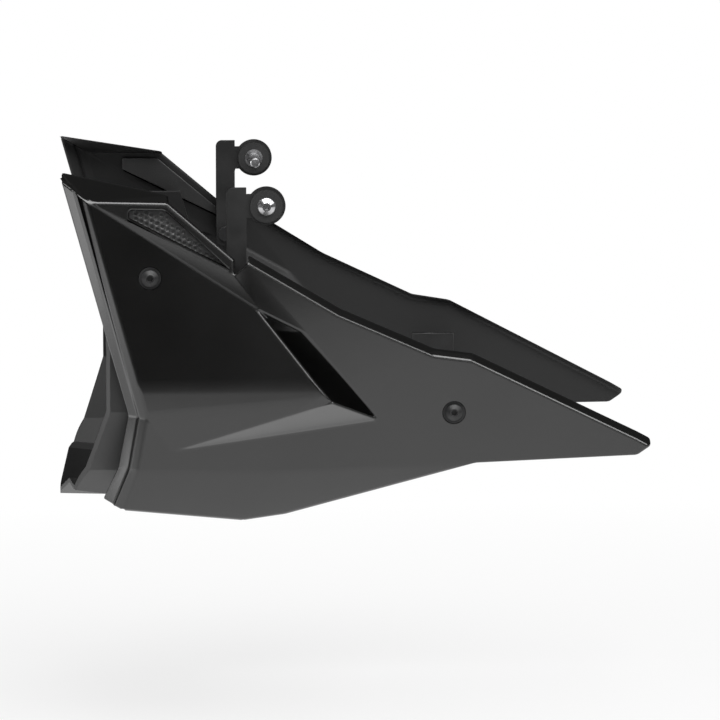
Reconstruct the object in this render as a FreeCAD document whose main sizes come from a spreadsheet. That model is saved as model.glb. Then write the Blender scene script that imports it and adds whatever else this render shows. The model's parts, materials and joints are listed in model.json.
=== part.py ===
import FreeCAD, Part
import math
import os

import Sketcher
from FreeCAD import Placement, Rotation, Vector

# Lower engine cover (belly pan) of a motorcycle, in millimetres.
# +X runs rearwards, +Y to the rider's right, +Z up.
# The origin is the middle of the rear crossmember's upper face, between its two engine bolts.
# The left side lies at negative Y. Corner tables give the distance out from the middle plane.

doc = FreeCAD.newDocument("engine_cover")
sheet = doc.addObject("Spreadsheet::Sheet", "sizes")

# Corners of the left side panel as seen from the side: rearwards and up.
SIDE = {
    "crease_top": (-220, 154),
    "crease_bend": (-190, 43),
    "crease_mid": (-185, 24),
    "crease_low": (-191, -9),
    "crease_foot": (-200, -35),
    "deck_rear": (-172.5, 153),
    "vent_end": (-133, 119),
    "strip_end": (-133, 110),
    "saddle_front": (-125, 118),
    "saddle_mid": (-70, 84.5),
    "saddle_low": (-13, 58.5),
    "saddle_rear": (10.5, 55),
    "tail_top": (112, 3.5),
    "tail_tip": (120, -1),
    "tail_foot": (112, -6.5),
    "keel_rear": (13, -9),
    "keel_rise": (-102, -40),
    "keel_deep": (-128, -43.5),
    "keel_crease": (-110, -11.5),
    "gill_top": (-119.5, 90),
    "gill_bend": (-84, 44.5),
    "gill_foot": (-75, 34),
    "gill_rear": (-45, 19.5),
    "gill_upper": (-91, 74.5),
    "wedge_tip": (-169.5, 3),
}

# How far some of the corners stand out from the middle plane.
HALF_WIDTHS = {
    "crease_top": 116,
    "crease_bend": 125,
    "crease_mid": 124,
    "crease_low": 120.5,
    "crease_foot": 110,
    "vent_end": 122,
    "strip_end": 123,
    "saddle_front": 127,
    "gill_top": 127,
    "gill_rear": 112,
}

# The other corners keep their facets flat: each lies in the plane of three corners.
BASE_FACET = ("crease_mid", "crease_low", "gill_rear")
PLANES = {
    "wedge_tip": BASE_FACET,
    "keel_crease": BASE_FACET,
    "keel_rear": BASE_FACET,
    "saddle_mid": BASE_FACET,
    "saddle_low": BASE_FACET,
    "saddle_rear": BASE_FACET,
    "tail_top": BASE_FACET,
    "tail_tip": BASE_FACET,
    "tail_foot": BASE_FACET,
    "gill_upper": BASE_FACET,
    "deck_rear": ("crease_top", "vent_end", "strip_end"),
    "gill_bend": ("crease_top", "crease_bend", "gill_top"),
    "gill_foot": ("crease_bend", "crease_mid", "gill_bend"),
    "keel_deep": ("crease_low", "crease_foot", "keel_crease"),
    "keel_rise": ("keel_crease", "keel_deep", "keel_rear"),
}

SIZES = {
    # Overall sizes of a side panel, which the places along each axis follow.
    # The half-width is that of the gill's top corner.
    "panel_length": 340,
    "panel_half_width": 127,
    "panel_height": 197.5,
    # Panel wall, measured along the mould's draw, and the draw's angle from the Y axis.
    "wall": 4.2,
    "draw_angle": 17.5,
    # Stepped front flange: how far each stretch runs forwards and turns inwards.
    "flange_face_reach": 5,
    "flange_face_turn": 4,
    "flange_step_reach": 0.8,
    "flange_step_turn": 3,
    "flange_lip_reach": 6,
    "flange_lip_turn": 6,
    "nose_reach": 4,
    "nose_rise": 11,
    "foot_rise": 5,
    # Top deck and rolled rim.
    "deck_turn": 14,
    "deck_lift": 2.5,
    "rim_turn": 5,
    "rim_lift": 3.5,
    # Floor of the gill, under its front edge.
    "gill_floor_reach": 32,
    "gill_floor_sink": 13,
    # Keel flange under the scoop.
    "keel_flange_y": 58,
    "keel_flange_thickness": 3,
    "keel_screw_y": 66,
    "keel_screw_front_x": -190,
    "keel_screw_rear_x": -142,
    # Upper vent opening and its mesh.
    "vent_rim_margin": 4.8,
    "vent_strip_margin": 1.2,
    "vent_end_margin": 2.5,
    "vent_tip_x": -195,
    "mesh_thickness": 1.6,
    "mesh_depth": 1.1,
    "mesh_overlap": 1.2,
    "mesh_pitch": 3.6,
    "mesh_hole": 1.35,
    # Front scoop.
    "scoop_wall": 3,
    "scoop_side_y": 103,
    "scoop_top_z": 130,
    "scoop_shoulder_z": 24,
    "scoop_bilge_front_y": 86,
    "scoop_bilge_rear_y": 92,
    "scoop_bilge_z": -14,
    "scoop_floor_front_y": 74,
    "scoop_floor_rear_y": 80,
    "scoop_flat_y": 52,
    "scoop_keel_front_drop": 18,
    "scoop_keel_rear_drop": 6,
    "scoop_front_x": -248,
    "scoop_rear_x": -113,
    "lip_top_x": -208,
    "lip_upper_x": -212,
    "lip_upper_z": 85,
    "lip_bend_x": -208,
    "lip_bend_z": 52,
    "lip_side_x": -207,
    "beak_x": -229,
    "beak_y": 76,
    "beak_radius": 30,
    "chin_x": -238,
    "chin_z": -16,
    "chin_radius": 11,
    "scoop_top_rear_x": -160,
    "scoop_side_rear_x": -140,
    "scoop_side_rear_z": 60,
    "scoop_heel_z": -15,
    # Panel screws and their moulded seats.
    "front_screw_x": -183,
    "front_screw_z": 108,
    "rear_screw_x": 0,
    "rear_screw_z": 23,
    "seat_radius": 7.2,
    "seat_depth": 1.0,
    "boss_radius": 10,
    "screw_radius": 3,
    "screw_hole_radius": 3.3,
    "screw_head_radius": 5,
    "screw_head_height": 2.8,
    "screw_crown_radius": 2.6,
    "screw_tip_reach": 3,
    "screw_tip_chamfer": 0.6,
    "socket_radius": 2.1,
    "socket_depth": 1.9,
    "washer_radius": 6.6,
    "washer_thickness": 1.2,
    "pad_radius": 9,
    "pad_thickness": 2,
    "nut_radius": 5.77,
    "nut_height": 5,
    "nut_flange_radius": 7,
    "nut_flange_height": 1.2,
    "keel_screw_length": 13,
    # Rear crossmember.
    "strap_width": 26,
    "strap_thickness": 3,
    "tab_side_y": 89,
    "tab_top_z": 40,
    "tab_bottom_z": 12,
    "bar_side_y": 66,
    "bolt_hole_radius": 3.3,
    "bolt_spacing": 80,
    # Upper brackets with their rubber-mounted eyes.
    "eye_x": -113,
    "eye_z": 150,
    "eye_radius": 11.5,
    "eye_hole_radius": 7.6,
    "bracket_y": 112,
    "bracket_thickness": 3,
    "leg_width": 12,
    "leg_top_z": 161,
    "leg_bottom_z": 94,
    "arm_half_height": 7,
    "foot_screw_x": -131,
    "foot_screw_z": 101.5,
    "foot_boss_radius": 6,
    "foot_screw_radius": 2,
    "foot_screw_hole_radius": 2.3,
    "foot_screw_length": 9,
    "foot_head_radius": 4.6,
    "foot_head_height": 2.6,
    "grommet_radius": 9.8,
    "grommet_lip": 2.2,
    "grommet_bore_radius": 5.6,
    "sleeve_bore_radius": 4.15,
    "sleeve_end": 0.4,
    "bolt_length": 32,
    "shoulder_radius": 4,
}

for corner, (across, up) in SIDE.items():
    SIZES[f"{corner}_x"] = across
    SIZES[f"{corner}_z"] = up
for corner, out in HALF_WIDTHS.items():
    SIZES[f"{corner}_y"] = out
for row, (alias, value) in enumerate(SIZES.items(), start=1):
    sheet.set(f"A{row}", alias)
    sheet.set(f"B{row}", str(value))
    sheet.setAlias(f"B{row}", alias)
doc.recompute()


def raw_size(alias):
    return float(sheet.get(alias))


# The drawn extents of the panel, which its overall sizes stretch.
STRETCH = {
    "_x": raw_size("panel_length") / (raw_size("tail_tip_x") - raw_size("crease_top_x")),
    "_y": raw_size("panel_half_width") / raw_size("gill_top_y"),
    "_z": raw_size("panel_height") / (raw_size("crease_top_z") - raw_size("keel_deep_z")),
}


def size(alias):
    """The value of one driving dimension. A place along an axis follows the panel's overall size."""
    return raw_size(alias) * STRETCH.get(alias[-2:], 1)


# Plain geometry helpers.

def segment(start, end):
    return Part.LineSegment(start, end).toShape()


def flat_face(points):
    return Part.Face(Part.makePolygon(list(points) + [points[0]]))


def facet_faces(points):
    """One flat face where the corners lie in a plane, or else two triangles."""
    plane = Part.Plane(*points[:3])
    if all(plane.toShape().Surface.projectPoint(p).distanceToPoint(p) < 1e-4 for p in points):
        return [flat_face(points)]
    return [flat_face(points[:3]), flat_face([points[0]] + points[2:])]


def inset(points, margins):
    """The corners of a closed 2-D outline moved inwards, each side by its own margin."""
    count = len(points)
    turn = sum(a[0] * b[1] - a[1] * b[0] for a, b in zip(points, points[1:] + points[:1]))
    hand = 1 if turn > 0 else -1
    lines = []
    for index in range(count):
        (ax, ay), (bx, by) = points[index], points[(index + 1) % count]
        length = math.hypot(bx - ax, by - ay)
        normal = (-(by - ay) / length * hand, (bx - ax) / length * hand)
        offset = normal[0] * ax + normal[1] * ay + margins[index]
        lines.append((normal[0], normal[1], offset))
    moved = []
    for index in range(count):
        a1, b1, c1 = lines[index - 1]
        a2, b2, c2 = lines[index]
        det = a1 * b2 - a2 * b1
        moved.append(((c1 * b2 - c2 * b1) / det, (a1 * c2 - a2 * c1) / det))
    return moved


def rounded_outline(points, radii):
    """A closed wire of straight runs, with a tangent arc at each corner that has a radius."""
    count = len(points)
    edges = []
    starts, ends, middles = [], [], []
    for index, corner in enumerate(points):
        radius = radii.get(index, 0)
        before = (points[index - 1] - corner).normalize()
        after = (points[(index + 1) % count] - corner).normalize()
        half = before.getAngle(after) / 2
        reach = radius / math.tan(half)
        bisector = (before + after).normalize()
        starts.append(corner + before * reach)
        ends.append(corner + after * reach)
        middles.append(corner + bisector * (radius / math.sin(half) - radius))
    for index in range(count):
        if radii.get(index, 0):
            edges.append(Part.Arc(starts[index], middles[index], ends[index]).toShape())
        edges.append(segment(ends[index], starts[(index + 1) % count]))
    return Part.Wire(edges)


def rod(radius, start, end):
    """A cylinder between two points."""
    return Part.makeCylinder(radius, (end - start).Length, start, end - start)


def finished(shape, name):
    """A document object for a free-form solid."""
    feature = doc.addObject("Part::Feature", name)
    feature.Shape = shape
    return feature


def mirrored(source, name):
    """The right-hand twin of a left-hand piece."""
    twin = doc.addObject("Part::Mirroring", name)
    twin.Source = source
    twin.Normal = Vector(0, 1, 0)
    twin.Base = Vector(0, 0, 0)
    return twin


def group(members, name):
    """Identical separate pieces under one name."""
    compound = doc.addObject("Part::Compound", name)
    compound.Links = members
    return compound


# Sketch-based bodies, every sketch point bound to the sheet.

def origin_plane(body, role):
    return next(f for f in body.Origin.OriginFeatures if f.Role == role)


def bound_sketch(body, role, points, name):
    """A closed outline on an origin plane; each point is a pair of expressions on the sheet."""
    sketch = body.newObject("Sketcher::SketchObject", name)
    sketch.AttachmentSupport = [(origin_plane(body, role), "")]
    sketch.MapMode = "FlatFace"
    places = [(sheet_value(x), sheet_value(y)) for x, y in points]
    count = len(points)
    for index in range(count):
        start, end = places[index], places[(index + 1) % count]
        sketch.addGeometry(Part.LineSegment(Vector(*start, 0), Vector(*end, 0)), False)
    for index in range(count):
        before = (index - 1) % count
        sketch.addConstraint(Sketcher.Constraint("Coincident", before, 2, index, 1))
    for index, point in enumerate(points):
        for kind, expression, value in zip(("DistanceX", "DistanceY"), point, places[index]):
            number = sketch.addConstraint(Sketcher.Constraint(kind, -1, 1, index, 1, value))
            sketch.setExpression(f"Constraints[{number}]", with_sheet(expression))
    return sketch


def with_sheet(expression):
    """The expression with each size's name pointed at the sheet."""
    words = expression.split()
    return " ".join(f"sizes.{w}" if w in SIZES else w for w in words)


def sheet_value(expression):
    words = [str(size(w)) if w in SIZES else w for w in expression.split()]
    total = FreeCAD.Units.Quantity(" ".join(words))
    return float(total.Value)


def turned(name, profile, placement):
    """A turned piece: a half profile of radius and height, revolved about its own axis."""
    body = doc.addObject("PartDesign::Body", name)
    sketch = bound_sketch(body, "XZ_Plane", profile, name + "_profile")
    turn = body.newObject("PartDesign::Revolution", name + "_turn")
    turn.Profile = sketch
    turn.ReferenceAxis = (sketch, ["V_Axis"])
    turn.Angle = 360
    body.Placement = placement
    doc.recompute()
    return body


def hex_points(radius):
    """A hexagon's corners as expressions on the named corner radius."""
    points = []
    for k in range(6):
        a = math.radians(60 * k)
        points.append((f"{radius} * {math.cos(a):.9f}", f"{radius} * {math.sin(a):.9f}"))
    return points


def socket(body, radius, depth, top):
    """A hexagon socket sunk into a screw's crown, which looks down the piece's own -Z."""
    sketch = bound_sketch(body, "XY_Plane", hex_points(radius), body.Name + "_socket")
    sketch.AttachmentOffset = Placement(Vector(0, 0, -size(top)), Rotation())
    sketch.setExpression("AttachmentOffset.Base.z", f"-sizes.{top}")
    pocket = body.newObject("PartDesign::Pocket", body.Name + "_key")
    pocket.Profile = sketch
    pocket.setExpression("Length", f"sizes.{depth}")
    pocket.Reversed = True
    doc.recompute()


INWARD = Rotation(Vector(1, 0, 0), -90)
OUTWARD = Rotation(Vector(1, 0, 0), 90)


# Left side panel: a drawn moulding, so its inner skin is the outer skin moved along the draw.

def left(corner):
    """A named corner on the left. Its distance out is its own, or that of the plane it lies in."""
    x, z = size(f"{corner}_x"), size(f"{corner}_z")
    if corner in HALF_WIDTHS:
        return Vector(x, -size(f"{corner}_y"), z)
    a, b, c = (left(name) for name in PLANES[corner])
    normal = (b - a).cross(c - a)
    return Vector(x, a.y - (normal.x * (x - a.x) + normal.z * (z - a.z)) / normal.y, z)


def draw_vector(length):
    angle = math.radians(size("draw_angle"))
    return Vector(math.sin(angle), math.cos(angle), 0) * length


FLANGE_LINE = ["crease_top", "crease_bend", "crease_mid", "crease_low", "crease_foot"]
RIM_LINE = ["saddle_front", "saddle_mid", "saddle_low", "saddle_rear", "tail_top", "tail_tip"]


def panel_corners():
    """All corners of the outer skin: the named ones, and those of the flange, deck and rim."""
    corners = {name: left(name) for name in SIDE}
    stretches = ("face", "step", "lip")
    full_reach = sum(size(f"flange_{s}_reach") for s in stretches)
    for name in FLANGE_LINE:
        rise, extra = 0, 0
        if name == "crease_top":
            rise, extra = size("nose_rise"), size("nose_reach")
        if name == "crease_foot":
            rise = size("foot_rise")
        reach, turn = 0, 0
        for stretch in stretches:
            reach += size(f"flange_{stretch}_reach")
            turn += size(f"flange_{stretch}_turn")
            share = reach / full_reach
            move = Vector(-reach - extra * share, turn, rise * share)
            corners[f"{name}_{stretch}"] = corners[name] + move
    inner_deck = Vector(0, size("deck_turn"), size("deck_lift"))
    corners["deck_front_in"] = corners["crease_top_lip"] + inner_deck
    corners["deck_rear_in"] = corners["deck_rear"] + inner_deck
    for name in RIM_LINE:
        corners[f"{name}_rim"] = corners[name] + Vector(0, size("rim_turn"), size("rim_lift"))
    return corners


def panel_facets():
    """The outer skin's facets, by corner names."""
    facets = [
        ("crease_top", "crease_bend", "gill_bend", "gill_top"),
        ("crease_bend", "crease_mid", "gill_foot", "gill_bend"),
        ("crease_mid", "wedge_tip", "gill_foot"),
        ("crease_mid", "crease_low", "wedge_tip"),
        ("wedge_tip", "gill_rear", "gill_foot"),
        ("wedge_tip", "crease_low", "keel_crease", "gill_rear"),
        ("crease_low", "crease_foot", "keel_deep", "keel_crease"),
        ("keel_crease", "keel_deep", "keel_rise", "keel_rear"),
        ("gill_rear", "keel_crease", "keel_rear"),
        ("crease_top", "deck_rear", "vent_end", "strip_end"),
        ("crease_top", "strip_end", "gill_top"),
        ("strip_end", "saddle_front", "gill_top"),
        ("saddle_front", "saddle_mid", "gill_upper", "gill_top"),
        ("gill_upper", "saddle_mid", "saddle_low", "gill_rear"),
        ("gill_rear", "saddle_low", "saddle_rear", "keel_rear"),
        ("keel_rear", "saddle_rear", "tail_top", "tail_foot"),
        ("tail_foot", "tail_top", "tail_tip"),
        ("crease_top_lip", "crease_top_step", "deck_front_in"),
        ("crease_top_step", "crease_top_face", "deck_front_in"),
        ("crease_top_face", "crease_top", "deck_front_in"),
        ("crease_top", "deck_rear", "deck_rear_in", "deck_front_in"),
    ]
    for upper, lower in zip(FLANGE_LINE, FLANGE_LINE[1:]):
        rows = ["", "_face", "_step", "_lip"]
        for near, far in zip(rows, rows[1:]):
            facets.append((upper + near, upper + far, lower + far, lower + near))
    for front, rear in zip(RIM_LINE, RIM_LINE[1:]):
        facets.append((front, front + "_rim", rear + "_rim", rear))
    return facets


def drawn_shell(corners, facets, draw):
    """A closed solid between a faceted skin and the same skin moved along the draw."""
    skin = [face for facet in facets for face in facet_faces([corners[c] for c in facet])]
    backs = [face.translated(draw) for face in skin]
    used = {}
    for facet in facets:
        for a, b in zip(facet, facet[1:] + facet[:1]):
            used.setdefault(frozenset((a, b)), []).append((a, b))
    walls = []
    for sides in used.values():
        if len(sides) == 1:
            a, b = (corners[c] for c in sides[0])
            walls.append(flat_face([a, b, b + draw, a + draw]))
    shell = Part.makeShell(skin + backs + walls)
    shell.sewShape()
    solid = Part.Solid(shell)
    if solid.Volume < 0:
        solid.reverse()
    return skin, solid


def skin_point(skin, x, z):
    """Where a line along Y through x, z meets the outer skin."""
    reach = segment(Vector(x, -2 * size("gill_top_y"), z), Vector(x, 0, z))
    gap, pairs, _ = Part.makeCompound(skin).distToShape(reach)
    return pairs[0][0]


def vent_outline(margins, tip_x):
    """The upper vent's outline in the XZ plane: its facet moved inwards, with the front tip cut off."""
    names = ("crease_top", "strip_end", "vent_end", "deck_rear")
    sides = [(size(f"{n}_x"), size(f"{n}_z")) for n in names]
    tip, strip, end, peak = inset(sides, margins)
    along_strip = (tip_x - tip[0]) / (strip[0] - tip[0])
    along_top = (tip_x - tip[0]) / (peak[0] - tip[0])
    low = (tip_x, tip[1] + along_strip * (strip[1] - tip[1]))
    high = (tip_x, tip[1] + along_top * (peak[1] - tip[1]))
    return [low, strip, end, peak, high]


def vent_prism(margin_cut, y_near, y_far):
    """The vent's outline as a prism along Y."""
    margins = [size("vent_strip_margin") - margin_cut, size("vent_end_margin") - margin_cut]
    margins += [size("vent_rim_margin") - margin_cut, size("vent_rim_margin") - margin_cut]
    outline = vent_outline(margins, size("vent_tip_x") - margin_cut)
    face = flat_face([Vector(x, y_near, z) for x, z in outline])
    return face.extrude(Vector(0, y_far - y_near, 0))


def gill_floor(corners):
    """The rear facet carried on forwards and inwards, under the front edge of the gill."""
    sink = Vector(-size("gill_floor_reach"), size("gill_floor_sink"), 0)
    upper, rear, top = corners["gill_upper"], corners["gill_rear"], corners["gill_top"]
    lower_floor = flat_face([upper, rear, rear + sink, upper + sink])
    upper_floor = flat_face([top, upper, upper + sink])
    draw = draw_vector(size("wall"))
    return [face.extrude(draw) for face in (lower_floor, upper_floor)]


def keel_line_z(x):
    """Height of the panel's lower edge under the scoop."""
    run = size("keel_deep_x") - size("crease_foot_x")
    slope = (size("keel_deep_z") - size("crease_foot_z")) / run
    return size("crease_foot_z") + slope * (x - size("crease_foot_x"))


def keel_flange():
    """The return flange that the scoop's floor rests on."""
    outer_front, outer_rear = left("crease_foot"), left("keel_deep")
    edge = -size("keel_flange_y")
    points = [outer_front, outer_rear, Vector(outer_rear.x, edge, outer_rear.z)]
    points.append(Vector(outer_front.x, edge, outer_front.z))
    lift = Vector(0, 0, size("keel_flange_thickness"))
    return flat_face(points).extrude(lift)


def keel_tilt():
    rise = size("keel_deep_z") - size("crease_foot_z")
    return math.degrees(math.atan2(rise, size("keel_deep_x") - size("crease_foot_x")))


def keel_axis():
    """Upward direction square to the keel flange."""
    tilt = math.radians(keel_tilt())
    return Vector(-math.sin(tilt), 0, math.cos(tilt))


def build_left_panel():
    corners = panel_corners()
    skin, panel = drawn_shell(corners, panel_facets(), draw_vector(size("wall")))
    panel = panel.multiFuse([keel_flange()] + gill_floor(corners))
    overall = 2 * size("gill_top_y")
    sunk = size("seat_depth") + size("washer_thickness")
    seats = {}
    for name, boss_end in (("front", scoop_face() + size("pad_thickness")),
                           ("rear", size("tab_side_y") + size("pad_thickness"))):
        x, z = size(f"{name}_screw_x"), size(f"{name}_screw_z")
        outer = skin_point(skin, x, z)
        seat_y = outer.y + sunk
        seats[name] = seat_y
        buried = outer + Vector(0, size("wall") / 2, 0)
        panel = panel.fuse(rod(size("boss_radius"), buried, Vector(x, -boss_end, z)))
        panel = panel.cut(rod(size("seat_radius"), Vector(x, -overall, z), Vector(x, seat_y, z)))
        panel = panel.cut(rod(size("screw_hole_radius"), Vector(x, -overall, z), Vector(x, 0, z)))
    x, z = size("foot_screw_x"), size("foot_screw_z")
    outer = skin_point(skin, x, z)
    bracket_face = Vector(x, -size("bracket_y"), z)
    buried = outer + Vector(0, size("wall") / 2, 0)
    panel = panel.fuse(rod(size("foot_boss_radius"), buried, bracket_face))
    blind = outer + Vector(0, size("wall") / 2, 0)
    panel = panel.cut(rod(size("foot_screw_radius"), blind, bracket_face))
    panel = panel.cut(vent_prism(0, -overall, -size("bracket_y") / 2))
    for x in (size("keel_screw_front_x"), size("keel_screw_rear_x")):
        foot = Vector(x, -size("keel_screw_y"), keel_line_z(x))
        axis = keel_axis() * size("keel_screw_length")
        panel = panel.cut(rod(size("screw_hole_radius"), foot - axis, foot + axis))
    return panel.removeSplitter(), skin, seats


def scoop_face():
    """Distance of the scoop's outer wall from the middle plane."""
    return size("scoop_side_y")


left_shape, left_skin, seat_places = build_left_panel()
left_panel = finished(left_shape, "left_side_panel")
right_panel = mirrored(left_panel, "right_side_panel")


# Mesh-faced plate behind the upper vent, lying on the panel's inner skin. Its pits are blind.

def build_mesh():
    names = ("crease_top", "deck_rear", "vent_end", "strip_end")
    facet = flat_face([left(n) for n in names])
    back = facet.translated(draw_vector(size("wall")))
    plate = back.extrude(draw_vector(size("mesh_depth")))
    closed_depth = size("mesh_thickness") - size("mesh_depth")
    closed = back.translated(draw_vector(size("mesh_depth"))).extrude(draw_vector(closed_depth))
    far = 2 * size("gill_top_y")
    plate = plate.common(vent_prism(size("mesh_overlap"), -far, 0))
    closed = closed.common(vent_prism(size("mesh_overlap"), -far, 0))
    window = vent_prism(-size("mesh_hole"), -far, 0)
    across = (left("strip_end") - left("crease_top"))
    along = Vector(across.x, 0, across.z).normalize()
    up = Vector(-along.z, 0, along.x)
    pitch = size("mesh_pitch")
    row_pitch = pitch * math.sqrt(3) / 2
    start = left("crease_top")
    columns = int(across.Length / pitch) + 1
    rows_up = int((left("deck_rear") - start).Length / row_pitch) + 1
    tools = []
    for r in range(rows_up):
        for c in range(columns):
            shift = pitch / 2 if r % 2 else 0
            centre = Vector(start.x, -far, start.z)
            centre += along * (c * pitch + shift) + up * (r * row_pitch)
            inside = Vector(centre.x, -far / 2, centre.z)
            if not window.isInside(inside, 1e-6, True):
                continue
            ring = []
            for k in range(6):
                angle = math.radians(60 * k + 30)
                spoke = along * math.cos(angle) + up * math.sin(angle)
                ring.append(centre + spoke * size("mesh_hole"))
            tools.append(flat_face(ring).extrude(Vector(0, far, 0)))
    return plate.cut(Part.makeCompound(tools)).fuse(closed).removeSplitter()


left_mesh = finished(build_mesh(), "left_vent_mesh")
right_mesh = mirrored(left_mesh, "right_vent_mesh")


# Front scoop: a lofted trough between the panels, trimmed to its side outline.

def scoop_section(x, bilge_y, floor_y, keel_drop):
    """The trough's wall, as a closed wire across the part at x."""
    floor_z = keel_line_z(x) + size("keel_flange_thickness")
    half = [
        (scoop_face(), size("scoop_top_z")),
        (scoop_face(), size("scoop_shoulder_z")),
        (bilge_y, size("scoop_bilge_z")),
        (floor_y, floor_z),
        (size("scoop_flat_y"), floor_z),
    ]
    keel = [(0, floor_z - keel_drop)]
    outer = [(-y, z) for y, z in half] + keel + [(y, z) for y, z in reversed(half)]
    wall = size("scoop_wall")
    inner = inset(outer, [wall] * (len(outer) - 1) + [0])
    ring = outer + list(reversed(inner))
    return Part.makePolygon([Vector(x, y, z) for y, z in ring + ring[:1]])


def beak(below):
    """The scoop's plan: its front runs to a blunt rounded beak in the middle."""
    side, rear, lip = size("scoop_side_y"), size("scoop_rear_x"), size("lip_side_x")
    half = [(rear, side), (lip, side), (size("beak_x"), size("beak_y"))]
    plan = half + [(size("chin_x"), 0)] + [(x, -y) for x, y in reversed(half)]
    turn = size("beak_radius")
    rounds = {2: turn, 3: 3 * turn, 4: turn}
    wire = rounded_outline([Vector(x, y, below) for x, y in plan], rounds)
    return Part.Face(wire).extrude(Vector(0, 0, size("scoop_top_z") - below))


def build_scoop():
    sections = []
    for end in ("front", "rear"):
        bilge_y, floor_y = size(f"scoop_bilge_{end}_y"), size(f"scoop_floor_{end}_y")
        keel_drop = size(f"scoop_keel_{end}_drop")
        sections.append(scoop_section(size(f"scoop_{end}_x"), bilge_y, floor_y, keel_drop))
    trough = Part.makeLoft(sections, True, True)
    below = size("keel_deep_z") * 2
    side = [
        (size("lip_top_x"), size("scoop_top_z")),
        (size("lip_upper_x"), size("lip_upper_z")),
        (size("lip_bend_x"), size("lip_bend_z")),
        (size("chin_x"), size("chin_z")),
        (size("chin_x"), below),
        (size("scoop_rear_x"), below),
        (size("scoop_rear_x"), size("scoop_heel_z")),
        (size("scoop_side_rear_x"), size("scoop_side_rear_z")),
        (size("scoop_top_rear_x"), size("scoop_top_z")),
    ]
    far = 2 * size("scoop_side_y")
    rounds = {2: 4 * size("chin_radius"), 3: size("chin_radius")}
    outline = rounded_outline([Vector(x, -far, z) for x, z in side], rounds)
    scoop = trough.common(Part.Face(outline).extrude(Vector(0, 2 * far, 0)))
    scoop = scoop.common(beak(below))
    for hand in (-1, 1):
        x, z = size("front_screw_x"), size("front_screw_z")
        hole = rod(size("screw_hole_radius"), Vector(x, hand * far, z), Vector(x, 0, z))
        scoop = scoop.cut(hole)
        for x in (size("keel_screw_front_x"), size("keel_screw_rear_x")):
            foot = Vector(x, hand * size("keel_screw_y"), keel_line_z(x))
            axis = keel_axis() * size("keel_screw_length")
            scoop = scoop.cut(rod(size("screw_hole_radius"), foot - axis, foot + axis))
    return scoop


scoop = finished(build_scoop(), "front_scoop")


# Panel screws, washers, rubber pads and nuts, made for the left and mirrored.

def screw_profile(length):
    """Half profile of a button-head screw: head below zero, shank above."""
    return [
        ("0", f"{length}"),
        ("0", "-1 * screw_head_height"),
        ("screw_crown_radius", "-1 * screw_head_height"),
        ("screw_head_radius", "-0.35 * screw_head_height"),
        ("screw_head_radius", "0"),
        ("screw_radius", "0"),
        ("screw_radius", f"{length} - screw_tip_chamfer"),
        ("screw_radius - screw_tip_chamfer", f"{length}"),
    ]


def shoulder_bolt_profile():
    """The button-head profile with a fuller shoulder where the bolt passes its sleeve."""
    shoulder = "2 * grommet_lip + 2 * sleeve_end + bracket_thickness"
    profile = screw_profile("bolt_length")
    waist = [("shoulder_radius", "0"), ("shoulder_radius", shoulder), ("screw_radius", shoulder)]
    return profile[:5] + waist + profile[6:]


def ring_profile(inner, outer, height):
    """Half profile of a flat ring that stands on zero."""
    return [(inner, "0"), (outer, "0"), (outer, height), (inner, height)]


def nut(name, placement):
    """A flanged hexagon nut with a clear bore."""
    body = doc.addObject("PartDesign::Body", name)
    sketch = bound_sketch(body, "XY_Plane", hex_points("nut_radius"), name + "_flats")
    pad = body.newObject("PartDesign::Pad", name + "_block")
    pad.Profile = sketch
    pad.setExpression("Length", "sizes.nut_height")
    profile = ring_profile("screw_hole_radius", "nut_flange_radius", "nut_flange_height")
    ring = bound_sketch(body, "XZ_Plane", profile, name + "_flange_profile")
    flange = body.newObject("PartDesign::Revolution", name + "_flange")
    flange.Profile = ring
    flange.ReferenceAxis = (ring, ["V_Axis"])
    doc.recompute()
    bore_profile = ring_profile("0", "screw_hole_radius", "nut_height")
    bore = bound_sketch(body, "XZ_Plane", bore_profile, name + "_bore_profile")
    groove = body.newObject("PartDesign::Groove", name + "_bore")
    groove.Profile = bore
    groove.ReferenceAxis = (bore, ["V_Axis"])
    body.Placement = placement
    doc.recompute()
    return body


def panel_fixing(name, seat_y, carrier_y, carrier_wall):
    """The screw, washer, rubber pad and nut at one panel seat, on both sides of the cover."""
    x, z = size(f"{name}_screw_x"), size(f"{name}_screw_z")
    washer_y = seat_y - size("washer_thickness")
    inner_y = -carrier_y + carrier_wall
    grip = inner_y - washer_y
    length = f"{grip:.6f} + nut_height + screw_tip_reach"
    head_place = Placement(Vector(x, washer_y, z), INWARD)
    screw = turned(f"left_{name}_screw", screw_profile(length), head_place)
    socket(screw, "socket_radius", "socket_depth", "screw_head_height")
    washer_ring = ring_profile("screw_hole_radius", "washer_radius", "washer_thickness")
    washer = turned(f"left_{name}_washer", washer_ring, head_place)
    pad_ring = ring_profile("screw_hole_radius", "pad_radius", "pad_thickness")
    pad_place = Placement(Vector(x, -carrier_y - size("pad_thickness"), z), INWARD)
    pad = turned(f"left_{name}_pad", pad_ring, pad_place)
    lock = nut(f"left_{name}_nut", Placement(Vector(x, inner_y, z), INWARD))
    return {
        f"{name}_panel_screws": screw,
        f"{name}_panel_washers": washer,
        f"{name}_rubber_pads": pad,
        f"{name}_flange_nuts": lock,
    }


pairs = {}
pairs.update(panel_fixing("front", seat_places["front"], scoop_face(), size("scoop_wall")))
pairs.update(panel_fixing("rear", seat_places["rear"], size("tab_side_y"), size("strap_thickness")))


# Keel screws and nuts, square to the sloping keel flange.

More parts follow.
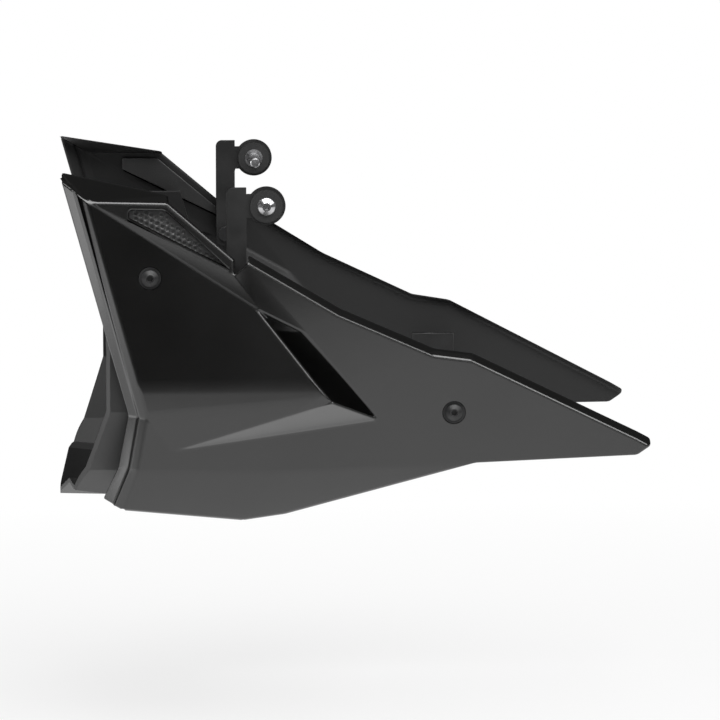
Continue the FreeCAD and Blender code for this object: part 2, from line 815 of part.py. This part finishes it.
def keel_fixing(label, x):
    foot = Vector(x, -size("keel_screw_y"), keel_line_z(x))
    upright = Rotation(Vector(0, 1, 0), -keel_tilt())
    screw = turned(f"keel_screw_{label}", screw_profile("keel_screw_length"), Placement(foot, upright))
    socket(screw, "socket_radius", "socket_depth", "screw_head_height")
    top = foot + keel_axis() * ((size("keel_flange_thickness") + size("scoop_wall")) * keel_axis().z)
    lock = nut(f"keel_nut_{label}", Placement(top, upright))
    return screw, lock


keel_front = keel_fixing("front", size("keel_screw_front_x"))
keel_rear = keel_fixing("rear", size("keel_screw_rear_x"))


# Rear crossmember: one bent steel strap with a tab up each side.

def build_crossmember():
    wide, bar = size("tab_side_y"), size("bar_side_y")
    half = [(wide, size("tab_top_z")), (wide, size("tab_bottom_z")), (bar, -size("strap_thickness"))]
    outer = [(-y, z) for y, z in half] + [(y, z) for y, z in reversed(half)]
    inner = inset(outer, [size("strap_thickness")] * (len(outer) - 1) + [0])
    ring = outer + list(reversed(inner))
    front = -size("strap_width") / 2
    bend = size("strap_thickness")
    wire = rounded_outline([Vector(front, y, z) for y, z in ring],
                           {1: 2 * bend, 2: 2 * bend, 3: 2 * bend, 4: 2 * bend,
                            7: bend, 8: bend, 9: bend, 10: bend})
    strap = Part.Face(wire).extrude(Vector(size("strap_width"), 0, 0))
    for hand in (-1, 1):
        z = size("rear_screw_z")
        x = size("rear_screw_x")
        hole = rod(size("screw_hole_radius"), Vector(x, hand * 2 * wide, z), Vector(x, 0, z))
        strap = strap.cut(hole)
        y = hand * size("bolt_spacing") / 2
        drop = 4 * size("strap_thickness")
        strap = strap.cut(rod(size("bolt_hole_radius"), Vector(0, y, -drop), Vector(0, y, drop)))
    return strap


crossmember = finished(build_crossmember(), "rear_crossmember")


# Upper brackets: flat steel legs with a rubber-mounted eye.

def build_bracket():
    y, thick = -size("bracket_y"), size("bracket_thickness")
    eye = Vector(size("eye_x"), y, size("eye_z"))
    half = size("arm_half_height")
    front = size("foot_screw_x") - size("leg_width") / 2
    rear = size("foot_screw_x") + size("leg_width") / 2
    points = [
        (front, size("leg_bottom_z")),
        (rear, size("leg_bottom_z")),
        (rear, eye.z - half),
        (eye.x, eye.z - half),
        (eye.x, eye.z + half),
        (rear, eye.z + half),
        (rear, size("leg_top_z")),
        (front, size("leg_top_z")),
    ]
    corner = size("leg_width") / 3
    wire = rounded_outline([Vector(x, y, z) for x, z in points], {0: corner, 1: corner, 7: corner})
    inward = Vector(0, thick, 0)
    plate = Part.Face(wire).extrude(inward)
    plate = plate.fuse(rod(size("eye_radius"), eye, eye + inward))
    plate = plate.cut(rod(size("eye_hole_radius"), eye - inward, eye + inward * 2))
    foot = Vector(size("foot_screw_x"), y, size("foot_screw_z"))
    plate = plate.cut(rod(size("foot_screw_hole_radius"), foot - inward, foot + inward * 2))
    return plate.removeSplitter()


left_bracket = finished(build_bracket(), "left_upper_bracket")
right_bracket = mirrored(left_bracket, "right_upper_bracket")

eye_place = Placement(Vector(size("eye_x"), -size("bracket_y"), size("eye_z")), INWARD)
left_grommet = turned("left_grommet", [
    ("grommet_bore_radius", "-1 * grommet_lip"),
    ("grommet_radius", "-1 * grommet_lip"),
    ("grommet_radius", "0"),
    ("eye_hole_radius", "0"),
    ("eye_hole_radius", "bracket_thickness"),
    ("grommet_radius", "bracket_thickness"),
    ("grommet_radius", "bracket_thickness + grommet_lip"),
    ("grommet_bore_radius", "bracket_thickness + grommet_lip"),
], eye_place)
left_sleeve = turned("left_sleeve", [
    ("sleeve_bore_radius", "-1 * grommet_lip - sleeve_end"),
    ("grommet_bore_radius", "-1 * grommet_lip - sleeve_end"),
    ("grommet_bore_radius", "bracket_thickness + grommet_lip + sleeve_end"),
    ("sleeve_bore_radius", "bracket_thickness + grommet_lip + sleeve_end"),
], eye_place)
bolt_out = Vector(0, size("grommet_lip") + size("sleeve_end"), 0)
bolt_place = Placement(eye_place.Base - bolt_out, INWARD)
left_bolt = turned("left_bracket_bolt", shoulder_bolt_profile(), bolt_place)
socket(left_bolt, "socket_radius", "socket_depth", "screw_head_height")

foot_seat_y = -size("bracket_y") + size("bracket_thickness")
foot_seat = Vector(size("foot_screw_x"), foot_seat_y, size("foot_screw_z"))
left_foot_screw = turned("left_foot_screw", [
    ("0", "foot_screw_length"),
    ("0", "-1 * foot_head_height"),
    ("foot_head_radius", "-1 * foot_head_height"),
    ("foot_head_radius", "0"),
    ("foot_screw_radius", "0"),
    ("foot_screw_radius", "foot_screw_length"),
], Placement(foot_seat, OUTWARD))
right_foot_screw = mirrored(left_foot_screw, "right_foot_screw")


# The finished pieces by name.

pieces = {
    "left_side_panel": left_panel,
    "right_side_panel": right_panel,
    "left_vent_mesh": left_mesh,
    "right_vent_mesh": right_mesh,
    "front_scoop": scoop,
    "rear_crossmember": crossmember,
    "left_upper_bracket": left_bracket,
    "right_upper_bracket": right_bracket,
    "left_bracket_grommet": left_grommet,
    "right_bracket_grommet": mirrored(left_grommet, "right_grommet"),
    "left_bracket_sleeve": left_sleeve,
    "right_bracket_sleeve": mirrored(left_sleeve, "right_sleeve"),
    "left_bracket_bolt": left_bolt,
    "right_bracket_bolt": mirrored(left_bolt, "right_bracket_bolt"),
    "bracket_foot_screws": group([left_foot_screw, right_foot_screw], "foot_screws"),
}
for name, member in pairs.items():
    pieces[name] = group([member, mirrored(member, name + "_right")], name)
keel_parts = {"keel_screws": 0, "keel_nuts": 1}
for name, index in keel_parts.items():
    members = [keel_front[index], keel_rear[index]]
    members += [mirrored(m, f"{m.Name}_right") for m in members]
    pieces[name] = group(members, name)

doc.recompute()
for item in doc.Objects:
    if "Invalid" in item.State or "Error" in item.State:
        raise RuntimeError(f"{item.Name} failed: {item.State}")

os.makedirs("parts", exist_ok=True)
for name, piece in pieces.items():
    shape = piece.Shape
    if shape.isNull() or not shape.isValid() or not shape.Solids:
        raise RuntimeError(f"{name} is not a sound solid")
    piece.Label = name
    shape.exportStep(f"parts/{name}.step")
    box = shape.BoundBox
    print(f"{name}: {len(shape.Solids)} solid(s), {shape.Volume / 1000:.2f} cm3, "
          f"{box.XLength:.1f} x {box.YLength:.1f} x {box.ZLength:.1f} mm")
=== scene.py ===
import json
import math
from collections import namedtuple

import bpy
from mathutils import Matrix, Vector


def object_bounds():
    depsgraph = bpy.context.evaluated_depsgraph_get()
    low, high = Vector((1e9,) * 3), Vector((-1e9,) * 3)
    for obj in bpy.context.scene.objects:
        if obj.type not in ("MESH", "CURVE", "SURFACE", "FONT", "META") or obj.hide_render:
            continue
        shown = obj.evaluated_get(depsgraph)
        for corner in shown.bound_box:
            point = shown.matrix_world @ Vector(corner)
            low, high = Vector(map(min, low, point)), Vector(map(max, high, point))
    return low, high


# Looks of a motorcycle's lower engine cover: satin black mouldings, dark steel brackets, bright bolts.
# The frame is in metres: +X rearwards, +Y to the rider's right, +Z up.

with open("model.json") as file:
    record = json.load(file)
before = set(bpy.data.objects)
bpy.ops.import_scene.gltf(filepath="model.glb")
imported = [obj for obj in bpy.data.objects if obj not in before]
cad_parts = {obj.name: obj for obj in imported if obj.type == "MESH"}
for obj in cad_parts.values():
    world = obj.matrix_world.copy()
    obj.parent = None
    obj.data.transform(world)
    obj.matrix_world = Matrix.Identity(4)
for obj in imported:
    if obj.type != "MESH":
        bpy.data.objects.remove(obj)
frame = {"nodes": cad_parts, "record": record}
cad_low, cad_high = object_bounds()
nodes = frame["nodes"]

MM = 0.001

# The cover's middle, on its plane of symmetry.
MIDDLE = ((cad_low[0] + cad_high[0]) / 2, 0, (cad_low[2] + cad_high[2]) / 2)

# The view is nearly square on to the left side, from a little above.
VIEW_ELEVATION = math.radians(9.5)
VIEW_AZIMUTH = math.radians(3.0)
VIEW_DISTANCE = 3.5
VIEW_END = 50.0
FRAME_WIDTH = 430 * MM
SENSOR_WIDTH = 36.0

# A surface's texture: the scale of the clouds in its polish, the scale and height of its grain, and how far
# its edges are worn pale and look rounded.
Texture = namedtuple("Texture", "clouds grain grain_height wear rounding")
MOULDED = Texture(clouds=14.0, grain=900.0, grain_height=0.06 * MM, wear=1.2 * MM, rounding=0.8 * MM)
COATED = Texture(clouds=60.0, grain=1500.0, grain_height=0.03 * MM, wear=0.4 * MM, rounding=0.3 * MM)
CLOUD_BAND = (0.3, 0.7)
GRAIN_DETAIL = 2.0
GRAIN_STRENGTH = 0.25

# An edge is worn where its rounded direction leaves the face's own: not at all at the first cosine
# between them, and fully at the other.
WEAR_BAND = (0.99, 0.86)
EDGE_SAMPLES = 6

# How far outwards a face looks: up to the first value it is wholly an inner face, and from the other on
# it is an outer one.
INNER_BAND = (-0.3, -0.1)
INNER_ROUGHNESS = 0.55
INNER_SPECULAR = 0.2
OUTER_SPECULAR = 0.5
PLASTIC_IOR = 1.75
STEEL_ROUGHNESS = (0.32, 0.5)

# Creases that are long enough and bent by more than the fold are rounded by a share of the width, in steps.
Rounding = namedtuple("Rounding", "fold share width steps")
PANEL_ROUNDING = Rounding(fold=math.radians(6.0), share=0.3, width=4.8 * MM, steps=6)
STRIP_ROUNDING = Rounding(fold=math.radians(25.0), share=1.0, width=0.4 * MM, steps=2)
SHORTEST_CREASE = 4 * MM
JOIN_GAP = 0.005 * MM
FLAT_FOLD = math.radians(0.3)
FACE_WEIGHT = 100

# Panel creases whose middles lie in these X and Z spans, in mm, take another share of the width: all of
# it at the flank's bend, and none at the small facets by the bracket's notch.
PANEL_SHARES = [
    ((-150, -120), (24, 46), 1.0),
    ((-130, -104), (95, 105), 0.0),
]

# The cover hangs above the floor as it does under its engine.
GROUND_CLEARANCE = 140 * MM
FLOOR_HEIGHT = cad_low[2] - GROUND_CLEARANCE
FLOOR_SIZE = 30.0
FLOOR_ROUGHNESS = 0.9
FLOOR_SPECULAR = 0.1

# Distances on the floor count for less along X. Over the first span the floor whitens to the camera, by
# these shares, and over the other its pale patch ends.
FLOOR_STRETCH = (0.42, 1, 1)
WHITE_SPAN = (0.15, 0.7)
WHITE_SHARES = (0.78, 1.0)
PATCH_SPAN = (0.7, 1.0)
PATCH_GREY = 0.85
FAR_GREY = 0.08

# Each light's name, place, target, width, height and power. The last two lie on the floor and look up:
# their reflections show in the wedge under the gill slot and in the front flange.
LOW_LIGHT = FLOOR_HEIGHT + 5 * MM
SOFTBOXES = [
    ("key_box", (0.0, -1.1, 1.8), (MIDDLE[0], -0.25, MIDDLE[2] - 0.2), 2.4, 1.5, 60),
    ("card", (0.0, -2.5, 0.85), MIDDLE, 2.2, 0.5, 3.6),
    ("side_card", (1.05, -2.4, 0.1), MIDDLE, 0.9, 0.5, 1.6),
    ("front_box", (-2.2, 0.1, 0.3), MIDDLE, 1.0, 0.7, 8),
    ("rear_box", (1.6, -1.2, 1.2), MIDDLE, 0.8, 0.8, 12),
    ("under_box", (-0.11, -0.08, LOW_LIGHT), (-0.11, -0.08, 0.0), 0.3, 0.2, 0.13),
    ("floor_card", (-1.2, -0.15, LOW_LIGHT), (-1.2, -0.15, 0.0), 0.5, 0.36, 1.0),
]
ROOM_GREY = 0.9
ROOM_STRENGTH = 0.04
WHITE = (1, 1, 1, 1)


# Nodes.

def feed(tree, value, socket):
    """Links an output to the socket, or sets the socket to a plain value."""
    if isinstance(value, bpy.types.NodeSocket):
        tree.links.new(value, socket)
    else:
        socket.default_value = value


def set_inputs(tree, node, **inputs):
    """Feeds a node's inputs by name, an underscore standing for a space."""
    for name, value in inputs.items():
        feed(tree, value, node.inputs[name.replace("_", " ")])


def add_node(tree, kind, **inputs):
    node = tree.nodes.new(kind)
    set_inputs(tree, node, **inputs)
    return node


def operate(tree, kind, operation, values):
    """A node of one operation, its inputs fed in order."""
    node = tree.nodes.new(kind)
    node.operation = operation
    for value, socket in zip(values, node.inputs):
        feed(tree, value, socket)
    return node


def maths(tree, operation, *values):
    return operate(tree, "ShaderNodeMath", operation, values).outputs["Value"]


def measure(tree, operation, *vectors):
    """A number taken from one or two vectors."""
    return operate(tree, "ShaderNodeVectorMath", operation, vectors).outputs["Value"]


def spread(tree, value, start, end, low, high):
    """The value's span from start to end, spread from low to high and held at both."""
    node = add_node(tree, "ShaderNodeMapRange", Value=value, From_Min=start, From_Max=end,
                    To_Min=low, To_Max=high)
    return node.outputs["Result"]


def between(tree, value, low, high):
    """One where the value lies between two limits, zero elsewhere."""
    above = maths(tree, "GREATER_THAN", value, low)
    below = maths(tree, "LESS_THAN", value, high)
    return maths(tree, "MULTIPLY", above, below)


def mix(tree, kind, factor, first, second):
    """The first value where the factor is zero, the second where it is one."""
    node = tree.nodes.new("ShaderNodeMix")
    node.data_type = kind
    set_inputs(tree, node, Factor=factor, A=first, B=second)
    return node.outputs["Result"]


def mix_numbers(tree, factor, first, second):
    return mix(tree, "FLOAT", factor, first, second)


def mix_colours(tree, factor, first, second):
    return mix(tree, "RGBA", factor, first, second)


def mix_shaders(tree, factor, first, second, output):
    """Two shader nodes mixed by the factor, for the tree's named output node."""
    node = tree.nodes.new("ShaderNodeMixShader")
    for value, socket in zip((factor, first.outputs[0], second.outputs[0]), node.inputs):
        tree.links.new(value, socket)
    tree.links.new(node.outputs["Shader"], tree.nodes[output].inputs["Surface"])


# Textures, in the coordinates of each piece.

def coordinates(tree, kind):
    return tree.nodes.new("ShaderNodeTexCoord").outputs[kind]


def noise(tree, scale, detail=3.0):
    place = coordinates(tree, "Object")
    return add_node(tree, "ShaderNodeTexNoise", Vector=place, Scale=scale, Detail=detail).outputs["Fac"]


def clouds(tree, scale, low, high):
    """Soft clouds from low to high."""
    return spread(tree, noise(tree, scale), *CLOUD_BAND, low, high)


def rounded_normal(tree, radius):
    """The face's direction, turned near its edges as if they were rounded."""
    bevel = add_node(tree, "ShaderNodeBevel", Radius=radius)
    bevel.samples = EDGE_SAMPLES
    return bevel.outputs["Normal"]


def grained_normal(tree, texture):
    """Fine grain over edges that catch the light as if rounded."""
    bump = add_node(tree, "ShaderNodeBump", Strength=GRAIN_STRENGTH, Distance=texture.grain_height,
                    Height=noise(tree, texture.grain, GRAIN_DETAIL),
                    Normal=rounded_normal(tree, texture.rounding))
    return bump.outputs["Normal"]


def worn_edges(tree, radius):
    """One on sharp edges, falling to zero on flat faces."""
    face = tree.nodes.new("ShaderNodeNewGeometry").outputs["Normal"]
    cosine = measure(tree, "DOT_PRODUCT", rounded_normal(tree, radius), face)
    return spread(tree, cosine, *WEAR_BAND, 0.0, 1.0)


def inner_faces(tree):
    """One on faces that look towards the cover's middle plane, zero on those that look outwards."""
    place = add_node(tree, "ShaderNodeSeparateXYZ", Vector=coordinates(tree, "Object"))
    facing = add_node(tree, "ShaderNodeSeparateXYZ", Vector=coordinates(tree, "Normal"))
    side = maths(tree, "SIGN", place.outputs["Y"])
    outward = maths(tree, "MULTIPLY", side, facing.outputs["Y"])
    return spread(tree, outward, *INNER_BAND, 1.0, 0.0)


# Materials.

def grey(level):
    return (level, level, level, 1)


def new_material(name):
    material = bpy.data.materials.new(name)
    material.use_nodes = True
    tree = material.node_tree
    return material, tree, tree.nodes["Principled BSDF"]


def black_plastic(name, dark, worn, roughness, inside=None):
    """Moulded plastic with paler edges and, given a colour for them, duller inner faces in that colour: a
    matt inner skin on the panels, a darker painted shade inside the scoop.
    """
    material, tree, shader = new_material(name)
    colour = mix_colours(tree, worn_edges(tree, MOULDED.wear), dark, worn)
    polish = clouds(tree, MOULDED.clouds, *roughness)
    specular = OUTER_SPECULAR
    if inside:
        inner = inner_faces(tree)
        colour = mix_colours(tree, inner, colour, inside)
        polish = mix_numbers(tree, inner, polish, INNER_ROUGHNESS)
        specular = mix_numbers(tree, inner, OUTER_SPECULAR, INNER_SPECULAR)
    set_inputs(tree, shader, Base_Color=colour, Roughness=polish, Specular_IOR_Level=specular,
               IOR=PLASTIC_IOR, Normal=grained_normal(tree, MOULDED))
    return material


def coated_steel(name, dark, worn):
    """Black coated steel, paler where its edges are worn."""
    material, tree, shader = new_material(name)
    colour = mix_colours(tree, worn_edges(tree, COATED.wear), dark, worn)
    polish = clouds(tree, COATED.clouds, *STEEL_ROUGHNESS)
    set_inputs(tree, shader, Base_Color=colour, Roughness=polish, Normal=grained_normal(tree, COATED))
    return material


def bright_steel(name, dark, light):
    """Zinc-plated steel with a fine speckle."""
    material, tree, shader = new_material(name)
    colour = mix_colours(tree, noise(tree, scale=400.0), dark, light)
    polish = clouds(tree, scale=90.0, low=0.22, high=0.38)
    set_inputs(tree, shader, Base_Color=colour, Roughness=polish, Metallic=1.0)
    return material


def soft_rubber(name, dark, light):
    """Dull black rubber, a little mottled."""
    material, tree, shader = new_material(name)
    colour = mix_colours(tree, noise(tree, scale=120.0), dark, light)
    polish = clouds(tree, scale=60.0, low=0.6, high=0.8)
    set_inputs(tree, shader, Base_Color=colour, Roughness=polish)
    return material


def make_materials():
    """The materials by slot."""
    return {
        "panel_plastic": black_plastic(
            "panel_plastic", dark=(0.0045, 0.0045, 0.0043, 1), worn=(0.014, 0.014, 0.0135, 1),
            roughness=(0.19, 0.26), inside=grey(0.012)),
        # The scoop's inside colour is darker than its outside: painted shade for the shadow inside the
        # trough.
        "scoop_plastic": black_plastic(
            "scoop_plastic", dark=grey(0.006), worn=grey(0.012), roughness=(0.5, 0.6), inside=grey(0.004)),
        "mesh_plastic": black_plastic(
            "mesh_plastic", dark=grey(0.022), worn=grey(0.06), roughness=(0.35, 0.45)),
        "black_steel": coated_steel("black_steel", dark=grey(0.016), worn=grey(0.05)),
        "black_fasteners": coated_steel("black_fasteners", dark=(0.014, 0.014, 0.0145, 1), worn=grey(0.07)),
        "zinc_steel": bright_steel("zinc_steel", dark=(0.5, 0.5, 0.51, 1), light=(0.72, 0.72, 0.73, 1)),
        "rubber": soft_rubber("rubber", dark=grey(0.012), light=grey(0.022)),
    }


# Creases. The solids keep their shape; modifiers round their edges.

def crease_weights(name, rounding, other_shares):
    """A node group that gives each crease its share of the rounding."""
    tree = bpy.data.node_groups.new(name, "GeometryNodeTree")
    tree.interface.new_socket(name="Geometry", in_out="INPUT", socket_type="NodeSocketGeometry")
    tree.interface.new_socket(name="Geometry", in_out="OUTPUT", socket_type="NodeSocketGeometry")
    source = tree.nodes.new("NodeGroupInput")
    result = tree.nodes.new("NodeGroupOutput")
    angle = tree.nodes.new("GeometryNodeInputMeshEdgeAngle").outputs["Unsigned Angle"]
    ends = tree.nodes.new("GeometryNodeInputMeshEdgeVertices").outputs
    length = measure(tree, "DISTANCE", ends["Position 1"], ends["Position 2"])
    bent = maths(tree, "GREATER_THAN", angle, rounding.fold)
    chosen = maths(tree, "MULTIPLY", bent, maths(tree, "GREATER_THAN", length, SHORTEST_CREASE))
    middle = tree.nodes.new("GeometryNodeInputPosition").outputs["Position"]
    place = add_node(tree, "ShaderNodeSeparateXYZ", Vector=middle).outputs
    share = rounding.share
    for (x_low, x_high), (z_low, z_high), other in other_shares:
        along = between(tree, place["X"], x_low * MM, x_high * MM)
        up = between(tree, place["Z"], z_low * MM, z_high * MM)
        share = mix_numbers(tree, maths(tree, "MULTIPLY", along, up), share, other)
    store = tree.nodes.new("GeometryNodeStoreNamedAttribute")
    store.data_type = "FLOAT"
    store.domain = "EDGE"
    set_inputs(tree, store, Geometry=source.outputs["Geometry"], Name="bevel_weight_edge",
               Value=maths(tree, "MULTIPLY", chosen, share))
    set_inputs(tree, result, Geometry=store.outputs["Geometry"])
    return tree


def round_edges(piece, weights, rounding):
    """Joined vertices and whole flat faces, then each crease rounded by its share of the width."""
    join = piece.modifiers.new("join", "WELD")
    join.merge_threshold = JOIN_GAP
    flats = piece.modifiers.new("whole_faces", "DECIMATE")
    flats.decimate_type = "DISSOLVE"
    flats.angle_limit = FLAT_FOLD
    creases = piece.modifiers.new("crease_weights", "NODES")
    creases.node_group = weights
    bevel = piece.modifiers.new("rounded_edges", "BEVEL")
    bevel.width = rounding.width
    bevel.segments = rounding.steps
    bevel.limit_method = "WEIGHT"
    bevel.use_clamp_overlap = False
    bevel.miter_outer = "MITER_ARC"
    normals = piece.modifiers.new("flat_faces", "WEIGHTED_NORMAL")
    normals.keep_sharp = False
    normals.weight = FACE_WEIGHT


def dress():
    """Gives each piece its material, and rounds the creases of the panels and the steel strips."""
    materials = make_materials()
    for row in frame["record"]["subparts"]:
        slots = nodes[row["node"]].data.materials
        slots.clear()
        slots.append(materials[row["material_slot"]])
    panel_creases = crease_weights("panel_creases", PANEL_ROUNDING, PANEL_SHARES)
    for name in ("left_side_panel", "right_side_panel"):
        round_edges(nodes[name], panel_creases, PANEL_ROUNDING)
    strip_creases = crease_weights("strip_creases", STRIP_ROUNDING, [])
    for name in ("rear_crossmember", "left_upper_bracket", "right_upper_bracket"):
        round_edges(nodes[name], strip_creases, STRIP_ROUNDING)


# Studio.

def add_camera():
    centre = Vector((MIDDLE[0], cad_low[1], MIDDLE[2]))
    level = math.cos(VIEW_ELEVATION)
    look = Vector((math.sin(VIEW_AZIMUTH) * level, math.cos(VIEW_AZIMUTH) * level,
                   -math.sin(VIEW_ELEVATION)))
    data = bpy.data.cameras.new("photo_camera")
    data.sensor_width = SENSOR_WIDTH
    data.lens = SENSOR_WIDTH * VIEW_DISTANCE / FRAME_WIDTH
    data.clip_end = VIEW_END
    camera = bpy.data.objects.new("photo_camera", data)
    camera.location = centre - look * VIEW_DISTANCE
    camera.rotation_euler = look.to_track_quat("-Z", "Y").to_euler()
    bpy.context.collection.objects.link(camera)
    bpy.context.scene.camera = camera


def pale_floor(name):
    """Pale near the cover, where it keeps a shadow, and running out into the white backdrop."""
    material, tree, shader = new_material(name)
    place = coordinates(tree, "Object")
    stretched = operate(tree, "ShaderNodeVectorMath", "MULTIPLY", (place, FLOOR_STRETCH)).outputs["Vector"]
    distance = measure(tree, "LENGTH", stretched)
    whiteness = spread(tree, distance, *WHITE_SPAN, *WHITE_SHARES)
    patch = spread(tree, distance, *PATCH_SPAN, 1.0, 0.0)
    colour = mix_colours(tree, patch, grey(FAR_GREY), grey(PATCH_GREY))
    set_inputs(tree, shader, Base_Color=colour, Roughness=FLOOR_ROUGHNESS,
               Specular_IOR_Level=FLOOR_SPECULAR)
    ray = tree.nodes.new("ShaderNodeLightPath").outputs
    seen = maths(tree, "MULTIPLY", ray["Is Camera Ray"], whiteness)
    mirrored = maths(tree, "MULTIPLY", ray["Is Glossy Ray"], patch)
    white = add_node(tree, "ShaderNodeEmission", Color=WHITE, Strength=1.0)
    mix_shaders(tree, maths(tree, "MAXIMUM", seen, mirrored), shader, white, "Material Output")
    return material


def add_floor():
    bpy.ops.mesh.primitive_plane_add(size=FLOOR_SIZE, location=(0, 0, FLOOR_HEIGHT))
    floor = bpy.context.object
    floor.name = "studio_floor"
    floor.data.materials.append(pale_floor("pale_floor"))


def add_softbox(name, place, target, width, height, power):
    """An oblong light that faces its target and is unseen by the camera."""
    data = bpy.data.lights.new(name, "AREA")
    data.shape = "RECTANGLE"
    data.size = width
    data.size_y = height
    data.energy = power
    light = bpy.data.objects.new(name, data)
    light.location = place
    light.rotation_euler = (Vector(target) - Vector(place)).to_track_quat("-Z", "Y").to_euler()
    light.visible_camera = False
    bpy.context.collection.objects.link(light)


def add_world():
    """A white backdrop to the camera, and a dim grey room to everything else."""
    world = bpy.data.worlds.new("studio")
    bpy.context.scene.world = world
    world.use_nodes = True
    tree = world.node_tree
    room = tree.nodes["Background"]
    set_inputs(tree, room, Color=grey(ROOM_GREY), Strength=ROOM_STRENGTH)
    backdrop = add_node(tree, "ShaderNodeBackground", Color=WHITE, Strength=1.0)
    ray = tree.nodes.new("ShaderNodeLightPath").outputs
    mix_shaders(tree, ray["Is Camera Ray"], room, backdrop, "World Output")


add_camera()
dress()
add_floor()
for softbox in SOFTBOXES:
    add_softbox(*softbox)
add_world()
bpy.context.scene.view_settings.view_transform = "Standard"
